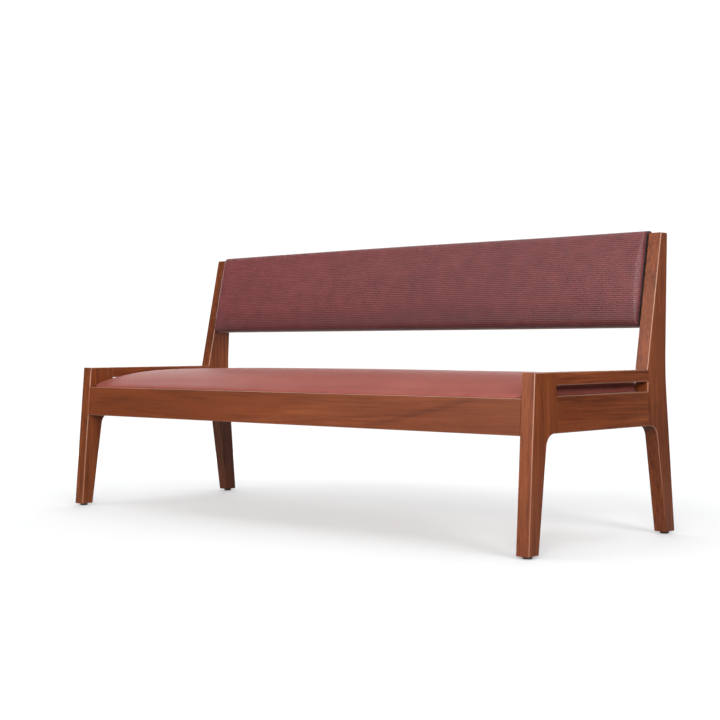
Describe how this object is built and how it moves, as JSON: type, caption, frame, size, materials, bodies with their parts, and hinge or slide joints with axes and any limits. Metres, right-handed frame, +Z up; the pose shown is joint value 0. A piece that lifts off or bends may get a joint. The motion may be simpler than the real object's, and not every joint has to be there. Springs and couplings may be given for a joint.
{
  "type": "church pew",
  "caption": "Long upholstered bench pew: hardwood end frames with open side slots, a crowned vinyl seat and a raked padded back between the posts.",
  "frame": {"origin": "on the floor, midway between the four feet", "axes": "+X along the bench to the sitter's left, -Y towards the front of the seat, +Z up"},
  "size_m": [1.83, 0.6654, 0.829],
  "materials": {
    "frame_wood": "reddish-brown stain under satin lacquer",
    "underframe_wood": "planed, unstained",
    "dowel_wood": "fluted beech",
    "plywood": "sanded",
    "foam": "open-cell foam",
    "seat_vinyl": "smooth vinyl with a satin sheen",
    "back_vinyl": "finely ribbed vinyl with a soft sheen",
    "panel_vinyl": "smooth vinyl over hardboard",
    "zinc_steel": "zinc plated",
    "glide_plastic": "matte"
  },
  "bodies": {
    "root": {"left_front_leg": "frame_wood", "right_front_leg": "frame_wood", "left_rear_post": "frame_wood", "right_rear_post": "frame_wood", "left_side_rail": "frame_wood", "right_side_rail": "frame_wood", "left_arm_rail": "frame_wood", "right_arm_rail": "frame_wood", "front_rail": "frame_wood", "rear_rail": "frame_wood", "left_cross_rail": "underframe_wood", "right_cross_rail": "underframe_wood", "front_left_corner_block": "underframe_wood", "front_right_corner_block": "underframe_wood", "rear_left_corner_block": "underframe_wood", "rear_right_corner_block": "underframe_wood", "seat_board": "plywood", "seat_foam": "foam", "seat_cover": "seat_vinyl", "back_board": "plywood", "back_foam": "foam", "back_cover": "back_vinyl", "back_rear_panel": "panel_vinyl", "left_back_bracket": "zinc_steel", "right_back_bracket": "zinc_steel", "front_left_glide": "glide_plastic", "front_right_glide": "glide_plastic", "rear_left_glide": "glide_plastic", "rear_right_glide": "glide_plastic", "side_frame_dowels": "dowel_wood", "rail_dowels": "dowel_wood", "cross_rail_pegs": "dowel_wood", "corner_block_screws": "zinc_steel", "frame_bolts": "zinc_steel", "frame_washers": "zinc_steel", "threaded_inserts": "zinc_steel", "seat_screws": "zinc_steel", "back_pins": "zinc_steel", "back_bracket_screws": "zinc_steel", "glide_nails": "zinc_steel"}
  },
  "joints": []
}
